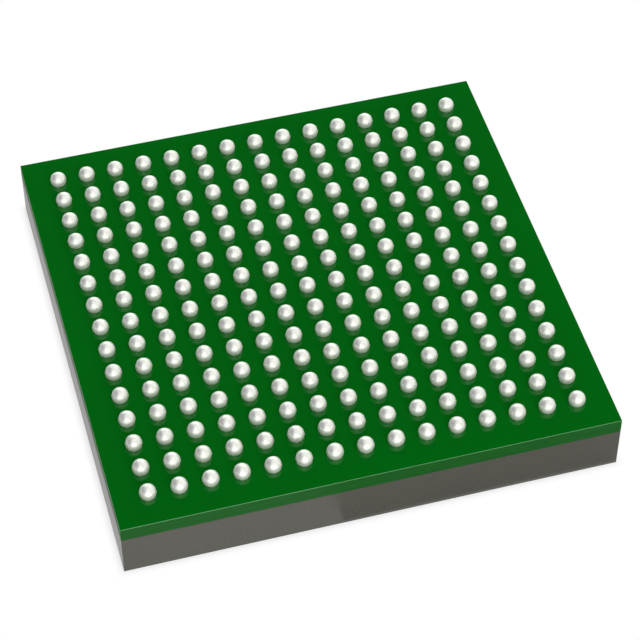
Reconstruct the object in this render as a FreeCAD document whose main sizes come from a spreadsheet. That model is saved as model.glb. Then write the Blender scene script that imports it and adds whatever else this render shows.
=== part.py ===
"""A plastic ball grid array package, balls up on the flat face of its moulding."""

import FreeCAD, Part
import os

import Sketcher

Vector = FreeCAD.Vector
Constraint = Sketcher.Constraint

# Row letters of a ball grid array: I, O, Q, S, X and Z are skipped, because they read as other signs
ROW_LETTERS = "abcdefghjklmnprtuvwy"
# The four sides of the die, each with the turn about Z that takes the back side's pieces to it
SIDES = {"back": 0, "left": 90, "front": 180, "right": 270}

# Driving dimensions in millimetres, and counts
DIMENSIONS = (
    ("edge_margin", 0.90, "from the outer balls' middles to the sawn edges of the package"),
    ("mould_thickness", 1.25, "moulding from its marking face to the die-side solder mask"),
    ("core_thickness", 0.40, "glass and resin laminate between the two solder masks"),
    ("mask_thickness", 0.03, "each of the two solder mask coats"),
    ("copper_thickness", 0.02, "foil that the ball lands and the bond fingers are etched from"),
    ("ball_pitch", 0.80, "from ball to ball, both ways"),
    ("ball_columns", 15, "balls in a row"),
    ("ball_rows", 15, "rows of balls"),
    ("ball_diameter", 0.45, "solder ball after reflow"),
    ("ball_bulge", 0.02, "how far a ball stands out past its opening in the mask, all round"),
    ("mask_overlap", 0.05, "rim of each land that the mask covers, all round"),
    ("die_width", 6.40, "edge of the square silicon die"),
    ("die_thickness", 0.25, "die after back grinding"),
    ("attach_thickness", 0.02, "glue line between die and mask"),
    ("attach_overhang", 0.05, "glue that is squeezed out past the edge of the die"),
    ("dimple_diameter", 1.00, "round mark moulded beside the first ball's corner"),
    ("dimple_depth", 0.05, "depth of that mark"),
    ("dimple_inset", 1.50, "from the package's edges to the middle of that mark"),
    ("wires_per_side", 28, "bond wires on each side of the die"),
    ("wire_corner", 0.50, "from the corner of the die to the first wire along its side"),
    ("wire_diameter", 0.025, "gold bond wire"),
    ("wire_inset", 0.10, "from the edge of the die in to the row of ball bonds"),
    ("loop_rise", 0.15, "top of a wire's loop over the face of the die"),
    ("bond_diameter", 0.06, "squashed ball bond on the die"),
    ("bond_thickness", 0.015, "thickness of the ball bond"),
    ("stitch_width", 0.05, "flattened end of a wire on its finger"),
    ("stitch_length", 0.12, "length of the flattened end"),
    ("stitch_thickness", 0.01, "thickness of the flattened end"),
    ("finger_gap", 0.90, "from the edge of the die out to the fingers"),
    ("finger_length", 0.40, "bond finger, away from the die"),
    ("finger_width", 0.10, "bond finger, along the side of the die"),
    ("window_margin", 0.10, "bare laminate between the fingers and the mask round them"),
)

# Heights over the marking face, as expressions on the sheet
MASK_UNDER = "Sizes.mould_thickness"
CORE_UNDER = f"{MASK_UNDER} + Sizes.mask_thickness"
MASK_OVER = f"{CORE_UNDER} + Sizes.core_thickness"
BALL_SEAT = f"{MASK_OVER} + Sizes.mask_thickness"
ATTACH_UNDER = f"{MASK_UNDER} - Sizes.attach_thickness"
DIE_UNDER = f"{ATTACH_UNDER} - Sizes.die_thickness"

# Places from the middle of the package
ROW_SPAN = "((Sizes.ball_columns - 1) * Sizes.ball_pitch)"
COLUMN_SPAN = "((Sizes.ball_rows - 1) * Sizes.ball_pitch)"
BODY_X = f"{ROW_SPAN} + 2 * Sizes.edge_margin"
BODY_Y = f"{COLUMN_SPAN} + 2 * Sizes.edge_margin"
MASK_OPENING = "(Sizes.ball_diameter - 2 * Sizes.ball_bulge)"
LAND_DIAMETER = f"{MASK_OPENING} + 2 * Sizes.mask_overlap"
WIRE_SPAN = "(Sizes.die_width - 2 * Sizes.wire_corner)"
DIE_EDGE = "Sizes.die_width / 2"
BOND_PLACE = f"{DIE_EDGE} - Sizes.wire_inset"
FINGER_PLACE = f"{DIE_EDGE} + Sizes.finger_gap + Sizes.finger_length / 2"
# The die's face lies this far from the plane of the fingers
FACE_DROP = "Sizes.mask_thickness + Sizes.attach_thickness + Sizes.die_thickness"

doc = FreeCAD.newDocument("ball_grid_array")


def make_sheet():
    """The spreadsheet that every size comes from, one alias a row."""
    sheet = doc.addObject("Spreadsheet::Sheet", "Sizes")
    for row, (alias, value, meaning) in enumerate(DIMENSIONS, start=1):
        sheet.set(f"A{row}", alias)
        sheet.set(f"B{row}", str(value))
        sheet.set(f"C{row}", meaning)
        sheet.setAlias(f"B{row}", alias)
    doc.recompute()
    return sheet


def make_body(label, height="0", turn=0):
    """An empty body whose own floor lies at a height over the marking face, turned about Z."""
    body = doc.addObject("PartDesign::Body", label)
    body.Placement.Rotation = FreeCAD.Rotation(Vector(0, 0, 1), turn)
    body.setExpression("Placement.Base.z", height)
    return body


def datum(body, role):
    """One of the body's own origin planes or axes."""
    return next(part for part in body.Origin.OriginFeatures if part.Role == role)


def sketch_on(body, name, role="XY_Plane", across="0", along="0", up="0"):
    """A sketch on one of the body's origin planes, shifted in that plane and along its normal."""
    sketch = body.newObject("Sketcher::SketchObject", name)
    sketch.AttachmentSupport = [(datum(body, role), "")]
    sketch.MapMode = "FlatFace"
    sketch.setExpression("AttachmentOffset.Base.x", across)
    sketch.setExpression("AttachmentOffset.Base.y", along)
    sketch.setExpression("AttachmentOffset.Base.z", up)
    return sketch


def bind(sketch, constraint, name, size):
    """Adds a dimension to a sketch and binds it to an expression on the sheet."""
    index = sketch.addConstraint(constraint)
    sketch.renameConstraint(index, name)
    sketch.setExpression(f"Constraints.{name}", size)


def rectangle(sketch, width, depth):
    """A rectangle about the sketch's origin."""
    corners = [Vector(-1, -1, 0), Vector(1, -1, 0), Vector(1, 1, 0), Vector(-1, 1, 0)]
    for start, end in zip(corners, corners[1:] + corners[:1]):
        sketch.addGeometry(Part.LineSegment(start, end), False)
    for side in range(4):
        sketch.addConstraint(Constraint("Coincident", side, 2, (side + 1) % 4, 1))
    for side in (0, 2):
        sketch.addConstraint(Constraint("Horizontal", side))
        sketch.addConstraint(Constraint("Vertical", side + 1))
    sketch.addConstraint(Constraint("Symmetric", 0, 1, 2, 1, -1, 1))
    bind(sketch, Constraint("DistanceX", 0, 1, 0, 2, 2.0), "width", width)
    bind(sketch, Constraint("DistanceY", 1, 1, 1, 2, 2.0), "depth", depth)


def circle(sketch, diameter):
    """A circle about the sketch's origin."""
    sketch.addGeometry(Part.Circle(Vector(0, 0, 0), Vector(0, 0, 1), 1.0), False)
    sketch.addConstraint(Constraint("Coincident", 0, 3, -1, 1))
    bind(sketch, Constraint("Diameter", 0, 2.0), "diameter", diameter)


def pad(body, sketch, thickness, name, downwards=False):
    """Extrudes a sketch along its normal, or against it."""
    feature = body.newObject("PartDesign::Pad", name)
    feature.Profile = (sketch, [""])
    feature.setExpression("Length", thickness)
    feature.Reversed = downwards
    return feature


def pocket(body, sketch, depth, name, upwards=False):
    """Cuts a sketch against its normal, or along it."""
    feature = body.newObject("PartDesign::Pocket", name)
    feature.Profile = (sketch, [""])
    feature.setExpression("Length", depth)
    feature.Reversed = upwards
    return feature


def repeat_along(body, features, span, count, name):
    """Repeats features along the body's X axis, the last one a whole span from the first."""
    pattern = body.newObject("PartDesign::LinearPattern", name)
    pattern.Originals = features
    pattern.Direction = (datum(body, "X_Axis"), [""])
    pattern.setExpression("Length", span)
    pattern.setExpression("Occurrences", count)
    body.Tip = pattern
    return pattern


def repeat_over_grid(body, feature, name):
    """Repeats a feature at every ball of the grid."""
    pattern = repeat_along(body, [feature], ROW_SPAN, "Sizes.ball_columns", name)
    pattern.Direction2 = (datum(body, "Y_Axis"), [""])
    pattern.setExpression("Length2", COLUMN_SPAN)
    pattern.setExpression("Occurrences2", "Sizes.ball_rows")
    return pattern


def repeat_on_four_sides(body, features, name):
    """Repeats features on the four sides of the package."""
    pattern = body.newObject("PartDesign::PolarPattern", name)
    pattern.Originals = features
    pattern.Axis = (datum(body, "Z_Axis"), [""])
    pattern.Angle = 360
    pattern.Occurrences = len(SIDES)
    body.Tip = pattern
    return pattern


def cut_out(block, tools, label):
    """A block that gives way to every piece that is moulded or pressed into it."""
    together = doc.addObject("Part::Compound", f"{label}_inserts")
    together.Links = tools
    cut = doc.addObject("Part::Cut", label)
    cut.Base = block
    cut.Tool = together
    return cut


def make_plate(label, height, thickness):
    """A plate of the package's outline, to its sawn edges."""
    body = make_body(label, height)
    outline = sketch_on(body, f"{label}_outline")
    rectangle(outline, BODY_X, BODY_Y)
    pad(body, outline, thickness, f"{label}_pad")
    return body


def window_sketch(body, name, up="0"):
    """The window in the die-side mask over the fingers of the back side."""
    sketch = sketch_on(body, name, along=FINGER_PLACE, up=up)
    rectangle(
        sketch,
        f"{WIRE_SPAN} + Sizes.finger_width + 2 * Sizes.window_margin",
        "Sizes.finger_length + 2 * Sizes.window_margin",
    )
    return sketch


def first_ball_sketch(body, name):
    """A sketch whose origin lies under the grid's first ball, at the front left."""
    return sketch_on(body, name, across=f"-{ROW_SPAN} / 2", along=f"-{COLUMN_SPAN} / 2")


def make_die():
    """The silicon die, its face away from the laminate."""
    body = make_body("die", DIE_UNDER)
    outline = sketch_on(body, "die_outline")
    rectangle(outline, "Sizes.die_width", "Sizes.die_width")
    pad(body, outline, "Sizes.die_thickness", "die_pad")
    return body


def make_die_attach():
    """The glue between the die and the laminate's mask, squeezed out a little all round."""
    body = make_body("die_attach", ATTACH_UNDER)
    outline = sketch_on(body, "die_attach_outline")
    spread = "Sizes.die_width + 2 * Sizes.attach_overhang"
    rectangle(outline, spread, spread)
    pad(body, outline, "Sizes.attach_thickness", "die_attach_pad")
    return body


def make_fingers(side, turn):
    """The copper bond fingers of one side, flush in the laminate's die-side face."""
    label = f"bond_fingers_{side}"
    body = make_body(label, CORE_UNDER, turn)
    outline = sketch_on(body, f"{label}_outline", across=f"-{WIRE_SPAN} / 2", along=FINGER_PLACE)
    rectangle(outline, "Sizes.finger_width", "Sizes.finger_length")
    finger = pad(body, outline, "Sizes.copper_thickness", f"{label}_pad")
    repeat_along(body, [finger], WIRE_SPAN, "Sizes.wires_per_side", f"{label}_row")
    return body


def wire_path(sketch):
    """Up from the ball bond, over the edge of the die, and down on to the finger."""
    # Rough first places, which the dimensions below then settle
    bond, heel, tip = 1.0, 2.0, 3.0
    face, loop, run = -0.3, -0.5, -0.1
    points = [Vector(bond, face, 0), Vector(bond, loop, 0), Vector(heel, run, 0), Vector(tip, run, 0)]
    for start, end in zip(points, points[1:]):
        sketch.addGeometry(Part.LineSegment(start, end), False)
    sketch.addConstraint(Constraint("Coincident", 0, 2, 1, 1))
    sketch.addConstraint(Constraint("Coincident", 1, 2, 2, 1))
    sketch.addConstraint(Constraint("Vertical", 0))
    sketch.addConstraint(Constraint("Horizontal", 2))
    bind(sketch, Constraint("DistanceX", -1, 1, 0, 1, bond), "bond_place", BOND_PLACE)
    bind(sketch, Constraint("DistanceY", 0, 1, -1, 1, -face), "face_drop", FACE_DROP)
    bind(sketch, Constraint("DistanceY", 0, 2, 0, 1, face - loop), "loop_rise", "Sizes.loop_rise")
    bind(sketch, Constraint("DistanceX", -1, 1, 1, 2, heel), "heel_place",
         f"{FINGER_PLACE} - Sizes.stitch_length / 2")
    bind(sketch, Constraint("DistanceX", 2, 1, 2, 2, tip - heel), "stitch_length", "Sizes.stitch_length")
    # The wire lies on the flattened end, sunk three quarters of the way into it
    bind(sketch, Constraint("DistanceY", 2, 1, -1, 1, -run), "run_drop",
         "Sizes.wire_diameter / 2 + Sizes.stitch_thickness / 4")


def make_wires(side, turn):
    """The gold wires of one side, each from a ball bond on the die to a stitch on its finger."""
    label = f"bond_wires_{side}"
    first = f"-{WIRE_SPAN} / 2"
    body = make_body(label, CORE_UNDER, turn)
    bond_outline = sketch_on(body, f"{label}_bond_outline", across=first, along=BOND_PLACE,
                             up=f"-({FACE_DROP})")
    circle(bond_outline, "Sizes.bond_diameter")
    bond = pad(body, bond_outline, "Sizes.bond_thickness", f"{label}_bond", downwards=True)
    section = sketch_on(body, f"{label}_section", across=first, along=BOND_PLACE,
                        up=f"-({FACE_DROP})")
    circle(section, "Sizes.wire_diameter")
    path = sketch_on(body, f"{label}_path", role="YZ_Plane", up=first)
    wire_path(path)
    doc.recompute()
    wire = body.newObject("PartDesign::AdditivePipe", f"{label}_wire")
    wire.Profile = (section, [""])
    wire.Spine = (path, ["Edge1", "Edge2", "Edge3"])
    wire.Transition = "Right corner"
    stitch_outline = sketch_on(body, f"{label}_stitch_outline", across=first, along=FINGER_PLACE)
    rectangle(stitch_outline, "Sizes.stitch_width", "Sizes.stitch_length")
    stitch = pad(body, stitch_outline, "Sizes.stitch_thickness", f"{label}_stitch", downwards=True)
    repeat_along(body, [bond, wire, stitch], WIRE_SPAN, "Sizes.wires_per_side", f"{label}_row")
    return body


def make_mould_block():
    """The moulding before it gives way to what it is moulded round."""
    body = make_plate("mould_block", "0", "Sizes.mould_thickness")
    plug_outline = window_sketch(body, "plug_outline", up="Sizes.mould_thickness")
    plug = pad(body, plug_outline, "Sizes.mask_thickness", "window_plug")
    repeat_on_four_sides(body, [plug], "window_plugs")
    dimple_outline = sketch_on(body, "dimple_outline", across=f"({BODY_X}) / 2 - Sizes.dimple_inset",
                               along=f"({BODY_Y}) / 2 - Sizes.dimple_inset")
    circle(dimple_outline, "Sizes.dimple_diameter")
    body.Tip = pocket(body, dimple_outline, "Sizes.dimple_depth", "dimple", upwards=True)
    return body


def make_die_side_mask():
    """The solder mask under the moulding, with a window over each row of fingers."""
    body = make_plate("solder_mask_die_side", MASK_UNDER, "Sizes.mask_thickness")
    outline = window_sketch(body, "window_outline")
    window = pocket(body, outline, "Sizes.mask_thickness", "window", upwards=True)
    repeat_on_four_sides(body, [window], "windows")
    return body


def make_lands():
    """The copper lands, flush in the laminate's ball-side face."""
    body = make_body("ball_lands", f"{MASK_OVER} - Sizes.copper_thickness")
    outline = first_ball_sketch(body, "land_outline")
    circle(outline, LAND_DIAMETER)
    land = pad(body, outline, "Sizes.copper_thickness", "land")
    repeat_over_grid(body, land, "land_grid")
    return body


def make_ball_side_mask():
    """The solder mask on the ball side, with an opening over each land."""
    body = make_plate("solder_mask_ball_side", MASK_OVER, "Sizes.mask_thickness")
    outline = first_ball_sketch(body, "opening_outline")
    circle(outline, MASK_OPENING)
    opening = pocket(body, outline, "Sizes.mask_thickness", "opening", upwards=True)
    repeat_over_grid(body, opening, "opening_grid")
    return body


def ball_profile(sketch):
    """Half of a ball's section: a neck through the mask, and a sphere cut off at the mask's face."""
    # Rough first sizes, which the dimensions below then settle
    neck, drop, centre, radius = 0.205, -0.03, 0.0927, 0.225
    top = centre + radius
    sketch.addGeometry(Part.LineSegment(Vector(0, top, 0), Vector(0, drop, 0)), False)
    sketch.addGeometry(Part.LineSegment(Vector(0, drop, 0), Vector(neck, drop, 0)), False)
    sketch.addGeometry(Part.LineSegment(Vector(neck, drop, 0), Vector(neck, 0, 0)), False)
    bulge = Part.Arc(Vector(neck, 0, 0), Vector(radius, centre, 0), Vector(0, top, 0))
    sketch.addGeometry(bulge, False)
    for line in range(3):
        sketch.addConstraint(Constraint("Coincident", line, 2, line + 1, 1))
    sketch.addConstraint(Constraint("Coincident", 3, 2, 0, 1))
    sketch.addConstraint(Constraint("PointOnObject", 0, 1, -2))
    sketch.addConstraint(Constraint("Vertical", 0))
    sketch.addConstraint(Constraint("Horizontal", 1))
    sketch.addConstraint(Constraint("Vertical", 2))
    sketch.addConstraint(Constraint("PointOnObject", 3, 3, -2))
    sketch.addConstraint(Constraint("PointOnObject", 2, 2, -1))
    bind(sketch, Constraint("DistanceX", 1, 1, 1, 2, neck), "neck_radius", f"{MASK_OPENING} / 2")
    bind(sketch, Constraint("DistanceY", 2, 1, 2, 2, -drop), "neck_depth", "Sizes.mask_thickness")
    bind(sketch, Constraint("Radius", 3, radius), "ball_radius", "Sizes.ball_diameter / 2")


def make_ball_row(row, letter):
    """One row of solder balls, each standing on its land through the mask."""
    label = f"solder_balls_row_{letter}"
    body = make_body(label, BALL_SEAT)
    body.setExpression("Placement.Base.y", f"{COLUMN_SPAN} / 2 - {row} * Sizes.ball_pitch")
    profile = sketch_on(body, f"{label}_profile", role="XZ_Plane", across=f"-{ROW_SPAN} / 2")
    ball_profile(profile)
    ball = body.newObject("PartDesign::Revolution", f"{label}_ball")
    ball.Profile = (profile, [""])
    ball.ReferenceAxis = (profile, ["V_Axis"])
    ball.Angle = 360
    repeat_along(body, [ball], ROW_SPAN, "Sizes.ball_columns", f"{label}_row")
    return body


sizes = make_sheet()
die = make_die()
die_attach = make_die_attach()
fingers = [make_fingers(side, turn) for side, turn in SIDES.items()]
wires = [make_wires(side, turn) for side, turn in SIDES.items()]
lands = make_lands()
mold_cap = cut_out(make_mould_block(), [die, die_attach] + wires, "mold_cap")
core_block = make_plate("core_block", CORE_UNDER, "Sizes.core_thickness")
laminate_core = cut_out(core_block, [lands] + fingers, "laminate_core")
balls = [make_ball_row(row, letter) for row, letter in enumerate(ROW_LETTERS[:int(sizes.ball_rows)])]

pieces = [mold_cap, die, die_attach]
pieces += wires + fingers
pieces += [make_die_side_mask(), laminate_core, lands, make_ball_side_mask()]
pieces += balls

doc.recompute()
for thing in doc.Objects:
    if {"Invalid", "Error"} & set(thing.State):
        raise RuntimeError(f"{thing.Label} did not recompute: {thing.State}")
for piece in pieces:
    if piece.Shape.isNull() or not piece.Shape.isValid():
        raise RuntimeError(f"{piece.Label} has no valid shape")

os.makedirs("parts", exist_ok=True)
for piece in pieces:
    piece.Shape.exportStep(f"parts/{piece.Label}.step")
    print(f"{piece.Label}: {len(piece.Shape.Solids)} solids, {piece.Shape.Volume:.4f} cubic mm")
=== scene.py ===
"""Dresses a ball grid array package: finishes for its plates, fine solder balls, and a plain studio."""

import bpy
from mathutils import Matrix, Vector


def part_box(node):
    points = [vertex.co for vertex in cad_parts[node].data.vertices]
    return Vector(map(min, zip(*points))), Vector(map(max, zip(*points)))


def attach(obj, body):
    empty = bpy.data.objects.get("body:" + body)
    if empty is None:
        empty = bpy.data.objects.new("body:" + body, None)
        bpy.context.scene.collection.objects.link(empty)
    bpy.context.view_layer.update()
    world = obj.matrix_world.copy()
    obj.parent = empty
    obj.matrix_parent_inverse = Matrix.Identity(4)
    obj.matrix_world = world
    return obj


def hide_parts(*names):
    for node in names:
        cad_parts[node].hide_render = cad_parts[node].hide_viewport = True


bl_info = {
    "name": "Ball Grid Array Dresser",
    "version": (1, 0, 0),
    "blender": (4, 5, 0),
    "location": "View3D > Sidebar > Chip",
    "description": "Finishes, solder balls and a plain studio for a ball grid array package",
    "category": "Mesh",
}

import math

import bmesh
import bpy
from mathutils import Matrix, Vector

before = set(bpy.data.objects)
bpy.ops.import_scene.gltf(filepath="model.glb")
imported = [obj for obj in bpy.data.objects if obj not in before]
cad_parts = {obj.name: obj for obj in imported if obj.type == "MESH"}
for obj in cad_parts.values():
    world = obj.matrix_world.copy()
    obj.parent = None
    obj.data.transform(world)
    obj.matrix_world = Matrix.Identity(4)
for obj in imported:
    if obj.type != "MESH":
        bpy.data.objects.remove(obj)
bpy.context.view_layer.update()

# Lengths are in metres, and this turns millimetres into them
MM = 0.001

BODY = "root"
SIDES = ("back", "left", "front", "right")
ROWS = sorted(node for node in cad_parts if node.startswith("solder_balls_row_"))

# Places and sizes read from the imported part
MASK_LOW, MASK_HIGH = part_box("solder_mask_ball_side")
HALF_WIDTH = MASK_HIGH[0]
MASK_FACE = MASK_HIGH[2]
MASK_THICKNESS = MASK_HIGH[2] - MASK_LOW[2]
BALL_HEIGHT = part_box(ROWS[0])[1][2] - MASK_FACE

# How near to the package's outline a point counts as sawn
SAWN_DEPTH = 0.002 * MM
# Painted highlight along the mask's sawn top edge, a pale lip standing in for the light that edge catches:
# how far down it reaches, and where it has faded out
HIGHLIGHT_LIP_DEPTH = 0.012 * MM
HIGHLIGHT_LIP_END = 0.022 * MM
# Reach of the package's shadow on the floor, inwards and outwards from the outline
SHADOW_INSIDE = 0.3 * MM
SHADOW_OUTSIDE = 0.25 * MM


class ChipBallSizes(bpy.types.PropertyGroup):
    """Sizes of the solder balls."""

    columns: bpy.props.IntProperty(
        name="Columns", description="Balls in a row", default=15, min=1)
    pitch: bpy.props.FloatProperty(
        name="Pitch", description="From ball to ball along a row", default=0.8 * MM, unit="LENGTH")
    height: bpy.props.FloatProperty(
        name="Height", description="From the mask's face to the top of a ball", default=BALL_HEIGHT,
        unit="LENGTH")
    opening: bpy.props.FloatProperty(
        name="Opening", description="Hole in the mask that a ball fills", default=0.41 * MM, unit="LENGTH")
    segments: bpy.props.IntProperty(
        name="Segments", description="Faces round a ball", default=14, min=8)
    rings: bpy.props.IntProperty(
        name="Rings", description="Faces from pole to pole of the whole sphere", default=6, min=4)


class ChipColours(bpy.types.PropertyGroup):
    """Main colours of the finishes."""

    mask: bpy.props.FloatVectorProperty(
        name="Solder mask", description="Green coat on both faces of the laminate",
        subtype="COLOR", size=3, min=0, max=1, default=(0.0001, 0.1255, 0.0057))
    laminate: bpy.props.FloatVectorProperty(
        name="Laminate", description="Sawn glass and resin at the sides",
        subtype="COLOR", size=3, min=0, max=1, default=(0.0035, 0.0835, 0.0068))
    # Lip: a painted highlight along the mask's sawn top edge, standing in for the light that edge catches
    dust_and_highlight_lip: bpy.props.FloatVectorProperty(
        name="Lip", description="Chipped edge of the mask, where the saw went through it",
        subtype="COLOR", size=3, min=0, max=1, default=(0.105, 0.305, 0.115))
    compound: bpy.props.FloatVectorProperty(
        name="Moulding", description="Filled epoxy of the mould cap",
        subtype="COLOR", size=3, min=0, max=1, default=(0.053, 0.051, 0.0395))
    solder: bpy.props.FloatVectorProperty(
        name="Solder", description="Reflowed tin alloy of the balls",
        subtype="COLOR", size=3, min=0, max=1, default=(0.895, 0.90, 0.83))


class ChipStudio(bpy.types.PropertyGroup):
    """Light, floor and camera."""

    sky: bpy.props.FloatProperty(
        name="Sky", description="Strength of the even light from all round", default=0.62, min=0)
    key: bpy.props.FloatProperty(
        name="Key lamp", description="Strength of the soft lamp at the front", default=1.87, min=0)
    back: bpy.props.FloatProperty(
        name="Back lamp", description="Strength of the soft lamp behind", default=0.8, min=0)
    floor: bpy.props.FloatProperty(
        name="Floor", description="Side of the floor", default=1.2, unit="LENGTH")
    lens: bpy.props.FloatProperty(
        name="Lens", description="Focal length", default=136.84, unit="CAMERA")
    camera: bpy.props.FloatVectorProperty(
        name="Camera", description="Place of the camera", size=3, subtype="TRANSLATION",
        default=(-0.011159, -0.041827, 0.049688))
    aim: bpy.props.FloatVectorProperty(
        name="Aim", description="Point on the ball side that the camera looks at", size=3,
        subtype="TRANSLATION", default=(0.000019, -0.001203, 0.001710))


class Value:
    """A socket that takes part in arithmetic: each operator adds a Math node to its tree."""

    def __init__(self, tree, socket):
        self.tree = tree
        self.socket = socket

    def maths(self, operation, *terms):
        return self.tree.node("ShaderNodeMath", {"operation": operation}, dict(enumerate(terms)))

    def __add__(self, other):
        return self.maths("ADD", self, other)

    def __rsub__(self, other):
        return self.maths("SUBTRACT", other, self)

    def __mul__(self, other):
        return self.maths("MULTIPLY", self, other)

    def __gt__(self, other):
        return self.maths("GREATER_THAN", self, other)

    def __abs__(self):
        return self.maths("ABSOLUTE", self)

    def larger(self, other):
        return self.maths("MAXIMUM", self, other)

    def ramp(self, low, high):
        """0 below low, 1 above high, and smooth between them."""
        return self.tree.node(
            "ShaderNodeMapRange", {"interpolation_type": "SMOOTHSTEP"},
            {"Value": self, "From Min": low, "From Max": high})

    __radd__ = __add__
    __rmul__ = __mul__


class ShaderTree:
    """A tree of shader nodes under construction, and the one way to add a node to it."""

    def __init__(self, tree):
        self.tree = tree

    def node(self, kind, settings=None, inputs=None, output=0):
        """Adds a node with its settings and inputs, and gives one of its outputs."""
        made = self.tree.nodes.new(kind)
        for name, setting in (settings or {}).items():
            setattr(made, name, setting)
        for name, term in (inputs or {}).items():
            self.feed(made.inputs[name], term)
        return Value(self, made.outputs[output]) if made.outputs else None

    def feed(self, socket, term):
        """Links a value to a socket, or sets the socket to a number or colour."""
        if isinstance(term, Value):
            self.tree.links.new(term.socket, socket)
        elif socket.type == "RGBA" and len(term) == 3:
            socket.default_value = (*term, 1.0)
        else:
            socket.default_value = term

    def seen_white(self, kind, lit, shown=1):
        """White to the camera where it is shown, off gloss and through glass, and lit to other rays."""
        camera, gloss, glass = (
            self.node("ShaderNodeLightPath", output=ray)
            for ray in ("Is Camera Ray", "Is Glossy Ray", "Is Transmission Ray"))
        white = self.node(kind, inputs={"Color": (1, 1, 1), "Strength": 1})
        seen = (camera * shown).larger(gloss).larger(glass)
        return self.node("ShaderNodeMixShader", inputs={0: seen, 1: lit, 2: white})


class Finish(ShaderTree):
    """A material under construction."""

    def __init__(self, name):
        self.material = bpy.data.materials.new(name)
        self.material.use_nodes = True
        super().__init__(self.material.node_tree)
        self.shader = self.tree.nodes["Principled BSDF"]
        self.place = self.node("ShaderNodeTexCoord", output="Object")

    def surface(self, **terms):
        """Sets or links sockets of the shader, named with underscores for spaces."""
        for name, term in terms.items():
            self.feed(self.shader.inputs[name.replace("_", " ")], term)

    def axis(self, name):
        """One of the three Object coordinates."""
        return self.node("ShaderNodeSeparateXYZ", inputs={0: self.place}, output=name)

    def reach(self):
        """How far out from the package's middle a point lies, along X or Y, whichever is more."""
        return abs(self.axis("X")).larger(abs(self.axis("Y")))

    def sawn(self):
        """1 on the sawn sides and 0 elsewhere."""
        return self.reach() > HALF_WIDTH - SAWN_DEPTH

    def noise(self, size, detail=2.0, rough=0.5, stretch=(1, 1, 1)):
        """Noise with blotches of a size, longer along an axis with a stretch under 1."""
        mapped = self.node("ShaderNodeMapping", inputs={"Vector": self.place, "Scale": stretch})
        inputs = {"Vector": mapped, "Scale": 1 / size, "Detail": detail, "Roughness": rough}
        return self.node("ShaderNodeTexNoise", inputs=inputs)

    def grains(self, size):
        """Distance to the nearest of scattered points, a size apart."""
        return self.node("ShaderNodeTexVoronoi", inputs={"Vector": self.place, "Scale": 1 / size})

    def blend(self, factor, first, second):
        """A colour that goes from first to second as the factor goes from 0 to 1."""
        settings = {"data_type": "RGBA"}
        return self.node("ShaderNodeMix", settings, {0: factor, 6: first, 7: second}, output=2)

    def bump(self, height, strength, depth):
        """A normal that follows a height whose full range is a depth."""
        inputs = {"Height": height, "Strength": strength, "Distance": depth}
        return self.node("ShaderNodeBump", inputs=inputs)


def shade(colour, factor):
    """A colour made darker or lighter by a factor."""
    return tuple(part * factor for part in colour)


def mask_finish(name, colours, edge, dust_and_highlight_lip):
    """Glossy green coat with a faint orange peel, and an edge and lip of their own where it was sawn; on
    the ball side the lip is a painted highlight.
    """
    finish = Finish(name)
    cloud = finish.noise(2.6 * MM, detail=3.0)
    peel = finish.noise(0.22 * MM)
    green = finish.blend(cloud.ramp(0.3, 0.7), shade(colours.mask, 0.97), shade(colours.mask, 1.03))
    # Top band of the sawn edge: a painted highlight on the ball side, smeared moulding dust on the die side
    dust_and_highlight_band = finish.axis("Z").ramp(MASK_FACE - HIGHLIGHT_LIP_END, MASK_FACE - HIGHLIGHT_LIP_DEPTH)
    sawn = finish.sawn()
    finish.surface(
        Base_Color=finish.blend(sawn, green, finish.blend(dust_and_highlight_band, edge, dust_and_highlight_lip)),
        Roughness=sawn * 0.35 + cloud * 0.02 + 0.07,
        Specular_IOR_Level=0.35,
        Normal=finish.bump(peel, strength=0.1, depth=0.001 * MM),
    )
    return finish.material


def laminate_finish(colours):
    """Sawn edge of the laminate: resin with plies of glass that show as faint lines and specks."""
    finish = Finish("sawn_laminate")
    plies = finish.noise(0.055 * MM, detail=1.0, stretch=(0.06, 0.06, 1))
    specks = finish.noise(0.03 * MM, rough=0.7)
    resin = finish.blend(plies.ramp(0.35, 0.7), shade(colours.laminate, 0.93), shade(colours.laminate, 1.1))
    fibre = (0.07, 0.17, 0.075)
    finish.surface(
        Base_Color=finish.blend(specks.ramp(0.62, 0.82) * 0.5, resin, fibre),
        Roughness=specks * 0.12 + 0.42,
        Specular_IOR_Level=0.1,
        Normal=finish.bump(specks + plies * 0.6, strength=0.25, depth=0.004 * MM),
    )
    return finish.material


def compound_finish(colours):
    """Filled epoxy: fine grain, and at the sides cut filler grains and faint marks of the saw."""
    finish = Finish("mould_compound")
    cloud = finish.noise(1.8 * MM, detail=3.0)
    grain = finish.noise(0.035 * MM, detail=3.0, rough=0.65)
    marks = finish.noise(0.05 * MM, stretch=(0.05, 0.05, 1))
    dark = finish.blend(cloud.ramp(0.3, 0.7), shade(colours.compound, 0.96), shade(colours.compound, 1.04))
    grey = finish.blend(grain.ramp(0.35, 0.75), dark, shade(colours.compound, 1.18))
    sawn = finish.sawn()
    cut_grains = (1 - finish.grains(0.05 * MM).ramp(0.10, 0.24)) * sawn
    filler = (0.22, 0.215, 0.2)
    finish.surface(
        Base_Color=finish.blend(cut_grains * 0.35, grey, filler),
        Roughness=0.62 - sawn * 0.34 + grain * 0.08,
        Specular_IOR_Level=0.45,
        Normal=finish.bump(grain + marks * sawn * 0.5, strength=0.2, depth=0.004 * MM),
    )
    return finish.material


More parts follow.
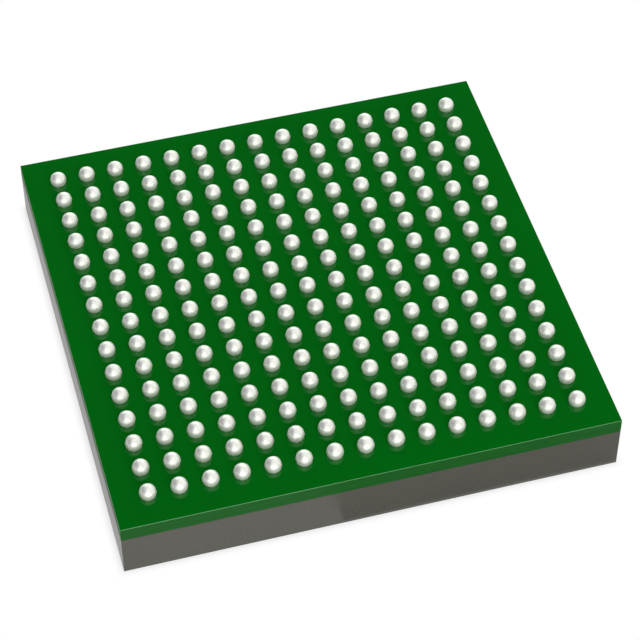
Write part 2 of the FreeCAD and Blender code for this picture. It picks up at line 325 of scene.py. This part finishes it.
def solder_finish(colours):
    """Satin tin alloy, its skin broken up by fine grains, with a green edge tint that is a painted
    reflection of the mask's light.
    """
    finish = Finish("reflowed_solder")
    skin = finish.noise(0.09 * MM, detail=3.0)
    grain = finish.noise(0.018 * MM)
    dull, bright = shade(colours.solder, 0.96), shade(colours.solder, 1.03)
    finish.surface(
        Base_Color=finish.blend(skin.ramp(0.3, 0.7), dull, bright),
        Metallic=0.63,
        # Green edge tint: painted reflection of the green mask's light on the balls' flanks
        Specular_Tint=(0.35, 0.9, 0.7),
        Roughness=skin * 0.08 + 0.424,
        Normal=finish.bump(skin * 0.6 + grain * 0.4, strength=0.12, depth=0.003 * MM),
    )
    return finish.material


def metal_finish(name, colour, roughness, blotch):
    """A bare metal whose skin varies a little, with blotches of a size."""
    finish = Finish(name)
    skin = finish.noise(blotch, detail=3.0)
    finish.surface(
        Base_Color=finish.blend(skin.ramp(0.3, 0.7), shade(colour, 0.93), shade(colour, 1.04)),
        Metallic=1.0,
        Roughness=skin * 0.12 + roughness,
        Normal=finish.bump(skin, strength=0.1, depth=0.001 * MM),
    )
    return finish.material


def silicon_finish():
    """Ground silicon: dark, with fine straight marks of the grinding wheel."""
    finish = Finish("silicon")
    marks = finish.noise(0.02 * MM, stretch=(0.02, 1, 1))
    dark, bright = (0.10, 0.105, 0.12), (0.15, 0.155, 0.17)
    finish.surface(
        Base_Color=finish.blend(marks.ramp(0.3, 0.7), dark, bright),
        Metallic=0.6,
        Roughness=marks * 0.15 + 0.2,
        Normal=finish.bump(marks, strength=0.1, depth=0.001 * MM),
    )
    return finish.material


def adhesive_finish():
    """Silver-filled epoxy under the die."""
    finish = Finish("die_adhesive")
    flakes = finish.grains(0.02 * MM)
    silver, resin = (0.62, 0.61, 0.59), (0.40, 0.39, 0.37)
    finish.surface(
        Base_Color=finish.blend(flakes.ramp(0.1, 0.6), silver, resin),
        Metallic=0.3,
        Roughness=flakes * 0.2 + 0.4,
        Normal=finish.bump(flakes, strength=0.1, depth=0.001 * MM),
    )
    return finish.material


def dress(nodes, material):
    """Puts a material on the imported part's own solids."""
    for name in nodes:
        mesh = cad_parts[name].data
        mesh.materials.clear()
        mesh.materials.append(material)


def new_piece(name, shape, material):
    """An object at the origin that takes its mesh from a bmesh, which is then freed."""
    mesh = bpy.data.meshes.new(name)
    shape.to_mesh(mesh)
    shape.free()
    mesh.materials.append(material)
    piece = bpy.data.objects.new(name, mesh)
    bpy.context.scene.collection.objects.link(piece)
    return piece


def ball_shape(sizes):
    """One ball over the origin: a sphere cut off at the mask's face, with a neck down to its land."""
    ball = bmesh.new()
    rim_radius = sizes.opening / 2
    # The sphere passes through the rim of the opening and through the ball's top
    radius = (sizes.height ** 2 + rim_radius ** 2) / (2 * sizes.height)
    bmesh.ops.create_uvsphere(ball, u_segments=sizes.segments, v_segments=sizes.rings, radius=radius)
    bmesh.ops.translate(ball, verts=ball.verts, vec=(0, 0, sizes.height - radius))
    everything = ball.verts[:] + ball.edges[:] + ball.faces[:]
    bmesh.ops.bisect_plane(ball, geom=everything, plane_co=(0, 0, 0), plane_no=(0, 0, -1), clear_outer=True)
    for face in ball.faces:
        face.smooth = True
    rim = [edge for edge in ball.edges if edge.is_boundary]
    for edge in rim:
        edge.smooth = False
    neck = bmesh.ops.extrude_edge_only(ball, edges=rim)["geom"]
    foot = [part for part in neck if isinstance(part, bmesh.types.BMVert)]
    bmesh.ops.translate(ball, verts=foot, vec=(0, 0, -MASK_THICKNESS))
    bmesh.ops.contextual_create(ball, geom=[edge for edge in ball.edges if edge.is_boundary])
    bmesh.ops.recalc_face_normals(ball, faces=ball.faces)
    return ball


def row_shape(single, node, sizes):
    """Copies of one ball along the place of a packed row."""
    low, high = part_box(node)
    first = (low[0] + high[0] - (sizes.columns - 1) * sizes.pitch) / 2
    row = single.copy()
    bmesh.ops.translate(row, verts=row.verts, vec=(first, (low[1] + high[1]) / 2, MASK_FACE))
    pattern = row.verts[:] + row.edges[:] + row.faces[:]
    for column in range(1, sizes.columns):
        copied = bmesh.ops.duplicate(row, geom=pattern)["geom"]
        verts = [part for part in copied if isinstance(part, bmesh.types.BMVert)]
        bmesh.ops.translate(row, verts=verts, vec=(column * sizes.pitch, 0, 0))
    return row


class CHIP_OT_finish_moulding(bpy.types.Operator):
    """Gives the mould cap its filled epoxy"""

    bl_idname = "chip.finish_moulding"
    bl_label = "Finish Moulding"

    def execute(self, context):
        dress(["mold_cap"], compound_finish(context.scene.chip_colours))
        return {"FINISHED"}


class CHIP_OT_finish_laminate(bpy.types.Operator):
    """Gives the laminate its sawn edge and both solder masks their green coat"""

    bl_idname = "chip.finish_laminate"
    bl_label = "Finish Laminate"

    def execute(self, context):
        colours = context.scene.chip_colours
        # Its lip colour is a painted highlight along the mask's sawn top edge
        ball_side = mask_finish("mask_ball_side", colours, colours.laminate, colours.dust_and_highlight_lip)
        # The saw smears the moulding's dust over the thin edge of the mask under it
        die_side = mask_finish("mask_die_side", colours, colours.compound, colours.compound)
        dress(["laminate_core"], laminate_finish(colours))
        dress(["solder_mask_ball_side"], ball_side)
        dress(["solder_mask_die_side"], die_side)
        return {"FINISHED"}


class CHIP_OT_finish_inside(bpy.types.Operator):
    """Gives the die, its glue, the wires, the fingers and the lands their finishes"""

    bl_idname = "chip.finish_inside"
    bl_label = "Finish Inside"

    def execute(self, context):
        gold = metal_finish("bond_gold", (0.94, 0.68, 0.24), roughness=0.18, blotch=0.03 * MM)
        copper = metal_finish("etched_copper", (0.83, 0.42, 0.25), roughness=0.32, blotch=0.08 * MM)
        dress(["die"], silicon_finish())
        dress(["die_attach"], adhesive_finish())
        dress([f"bond_wires_{side}" for side in SIDES], gold)
        dress([f"bond_fingers_{side}" for side in SIDES] + ["ball_lands"], copper)
        return {"FINISHED"}


class CHIP_OT_form_balls(bpy.types.Operator):
    """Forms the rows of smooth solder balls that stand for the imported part's rows"""

    bl_idname = "chip.form_balls"
    bl_label = "Form Solder Balls"

    def execute(self, context):
        sizes = context.scene.chip_balls
        solder = solder_finish(context.scene.chip_colours)
        single = ball_shape(sizes)
        for node in ROWS:
            piece = new_piece(f"{node}_fine", row_shape(single, node, sizes), solder)
            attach(piece, BODY)
            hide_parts(node)
        single.free()
        return {"FINISHED"}


def pointing(azimuth, elevation):
    """A direction from the object, in degrees: azimuth 0 is the front and 90 the right."""
    turn, rise = math.radians(azimuth), math.radians(elevation)
    return Vector((math.sin(turn) * math.cos(rise), -math.cos(turn) * math.cos(rise), math.sin(rise)))


def add_sun(name, azimuth, elevation, angle, strength):
    """A soft lamp far off in a direction from the object."""
    lamp = bpy.data.lights.new(name, "SUN")
    lamp.angle = math.radians(angle)
    lamp.energy = strength
    sun = bpy.data.objects.new(name, lamp)
    sun.rotation_euler = pointing(azimuth, elevation).to_track_quat("Z", "Y").to_euler()
    bpy.context.scene.collection.objects.link(sun)


def add_card(name, middle, facing, size, colour):
    """A matt card that only gloss sees, square to a direction."""
    sheet = bmesh.new()
    bmesh.ops.create_grid(sheet, x_segments=1, y_segments=1, size=0.5)
    bmesh.ops.scale(sheet, verts=sheet.verts, vec=(*size, 1))
    turn = facing.to_track_quat("Z", "Y").to_matrix().to_4x4()
    bmesh.ops.transform(sheet, verts=sheet.verts, matrix=Matrix.Translation(middle) @ turn)
    finish = Finish(name)
    finish.surface(Base_Color=colour, Roughness=1.0, Specular_IOR_Level=0.0)
    card = new_piece(name, sheet, finish.material)
    card.visible_camera = False
    card.visible_diffuse = False
    card.visible_shadow = False


class CHIP_OT_set_studio(bpy.types.Operator):
    """Sets the pale floor, the soft light, the cards that the gloss reflects, and the camera"""

    bl_idname = "chip.set_studio"
    bl_label = "Set Studio"

    def execute(self, context):
        studio = context.scene.chip_studio
        self.set_world(context.scene, studio)
        self.set_floor(studio)
        self.set_camera(context.scene, studio)
        self.set_mask_card(studio)
        self.set_ball_cards()
        self.set_front_card()
        add_sun("key_lamp", azimuth=6, elevation=22, angle=65, strength=studio.key)
        add_sun("back_lamp", azimuth=165, elevation=22, angle=58, strength=studio.back)
        return {"FINISHED"}

    def set_world(self, scene, studio):
        world = bpy.data.worlds.new("even_sky")
        world.use_nodes = True
        world.node_tree.nodes.clear()
        scene.world = world
        sky = ShaderTree(world.node_tree)
        light = sky.node("ShaderNodeBackground", inputs={"Color": (1, 1, 1), "Strength": studio.sky})
        backdrop = sky.seen_white("ShaderNodeBackground", light)
        sky.node("ShaderNodeOutputWorld", inputs={"Surface": backdrop})

    def set_floor(self, studio):
        """A matt white floor that the camera sees as pure white, apart from the package's shadow."""
        sheet = bmesh.new()
        bmesh.ops.create_grid(sheet, x_segments=1, y_segments=1, size=studio.floor / 2)
        finish = Finish("pale_floor")
        paper = finish.noise(6.0 * MM)
        finish.surface(
            Base_Color=finish.blend(paper, (0.965, 0.965, 0.965), (0.975, 0.975, 0.975)),
            Roughness=0.9,
            Specular_IOR_Level=0.0,
        )
        lit = Value(finish, finish.shader.outputs["BSDF"])
        clear = finish.reach().ramp(HALF_WIDTH - SHADOW_INSIDE, HALF_WIDTH + SHADOW_OUTSIDE)
        backdrop = finish.seen_white("ShaderNodeEmission", lit, shown=clear)
        finish.feed(finish.tree.nodes["Material Output"].inputs["Surface"], backdrop)
        new_piece("floor", sheet, finish.material)

    def set_camera(self, scene, studio):
        data = bpy.data.cameras.new("camera")
        data.lens = studio.lens
        data.sensor_width = 36
        data.clip_start = 0.005
        data.clip_end = 5
        camera = bpy.data.objects.new("camera", data)
        camera.location = studio.camera
        looking = Vector(studio.aim) - Vector(studio.camera)
        camera.rotation_euler = looking.to_track_quat("-Z", "Y").to_euler()
        scene.collection.objects.link(camera)
        scene.camera = camera

    def set_mask_card(self, studio):
        """A black card behind, where the mask mirrors the camera, so that its green shows deep."""
        aim = Vector(studio.aim)
        mirrored = (aim - Vector(studio.camera)).normalized()
        mirrored.z = -mirrored.z
        add_card("mask_card", aim + mirrored * 0.5, mirrored, size=(0.2, 0.2), colour=(0.004, 0.004, 0.004))

    def set_ball_cards(self):
        """A dark card at the left and a grey one at the right, which give the balls their soft shades."""
        left = pointing(-103, 33)
        add_card("left_card", left * 0.5, left, size=(1.15, 0.7), colour=(0.04, 0.015, 0.1))
        right = pointing(35, 38)
        add_card("right_card", right * 0.6, right, size=(0.62, 0.63), colour=(0.70, 0.68, 0.665))

    def set_front_card(self):
        """A grey card on the floor in front, which the right half of the sawn front reflects."""
        # Its left side lies where the front turns darker, a little off the foot and above the floor
        left, gap, lift = -0.8 * MM, 0.05 * MM, 0.02 * MM
        side = 40 * MM
        middle = Vector((left + side / 2, -HALF_WIDTH - gap - side / 2, lift))
        add_card("front_card", middle, Vector((0, 0, 1)), size=(side, side), colour=(0.66, 0.66, 0.66))


class CHIP_PT_dresser(bpy.types.Panel):
    """Lists the steps and what they can be set to"""

    bl_idname = "CHIP_PT_dresser"
    bl_label = "Ball Grid Array"
    bl_space_type = "VIEW_3D"
    bl_region_type = "UI"
    bl_category = "Chip"

    def draw(self, context):
        layout = self.layout
        for step in STEPS:
            layout.operator(step.bl_idname)
        for group in (context.scene.chip_balls, context.scene.chip_colours, context.scene.chip_studio):
            for name in group.__annotations__:
                layout.prop(group, name)


STEPS = (
    CHIP_OT_finish_moulding,
    CHIP_OT_finish_laminate,
    CHIP_OT_finish_inside,
    CHIP_OT_form_balls,
    CHIP_OT_set_studio,
)
CLASSES = (ChipBallSizes, ChipColours, ChipStudio) + STEPS + (CHIP_PT_dresser,)


def register():
    for cls in CLASSES:
        bpy.utils.register_class(cls)
    bpy.types.Scene.chip_balls = bpy.props.PointerProperty(type=ChipBallSizes)
    bpy.types.Scene.chip_colours = bpy.props.PointerProperty(type=ChipColours)
    bpy.types.Scene.chip_studio = bpy.props.PointerProperty(type=ChipStudio)


def unregister():
    del bpy.types.Scene.chip_studio
    del bpy.types.Scene.chip_colours
    del bpy.types.Scene.chip_balls
    for cls in reversed(CLASSES):
        bpy.utils.unregister_class(cls)


def main():
    """Dresses the part step by step."""
    register()
    bpy.context.scene.view_settings.view_transform = "Standard"
    bpy.ops.chip.finish_moulding()
    bpy.ops.chip.finish_laminate()
    bpy.ops.chip.finish_inside()
    bpy.ops.chip.form_balls()
    bpy.ops.chip.set_studio()


if __name__ == "__main__":
    main()
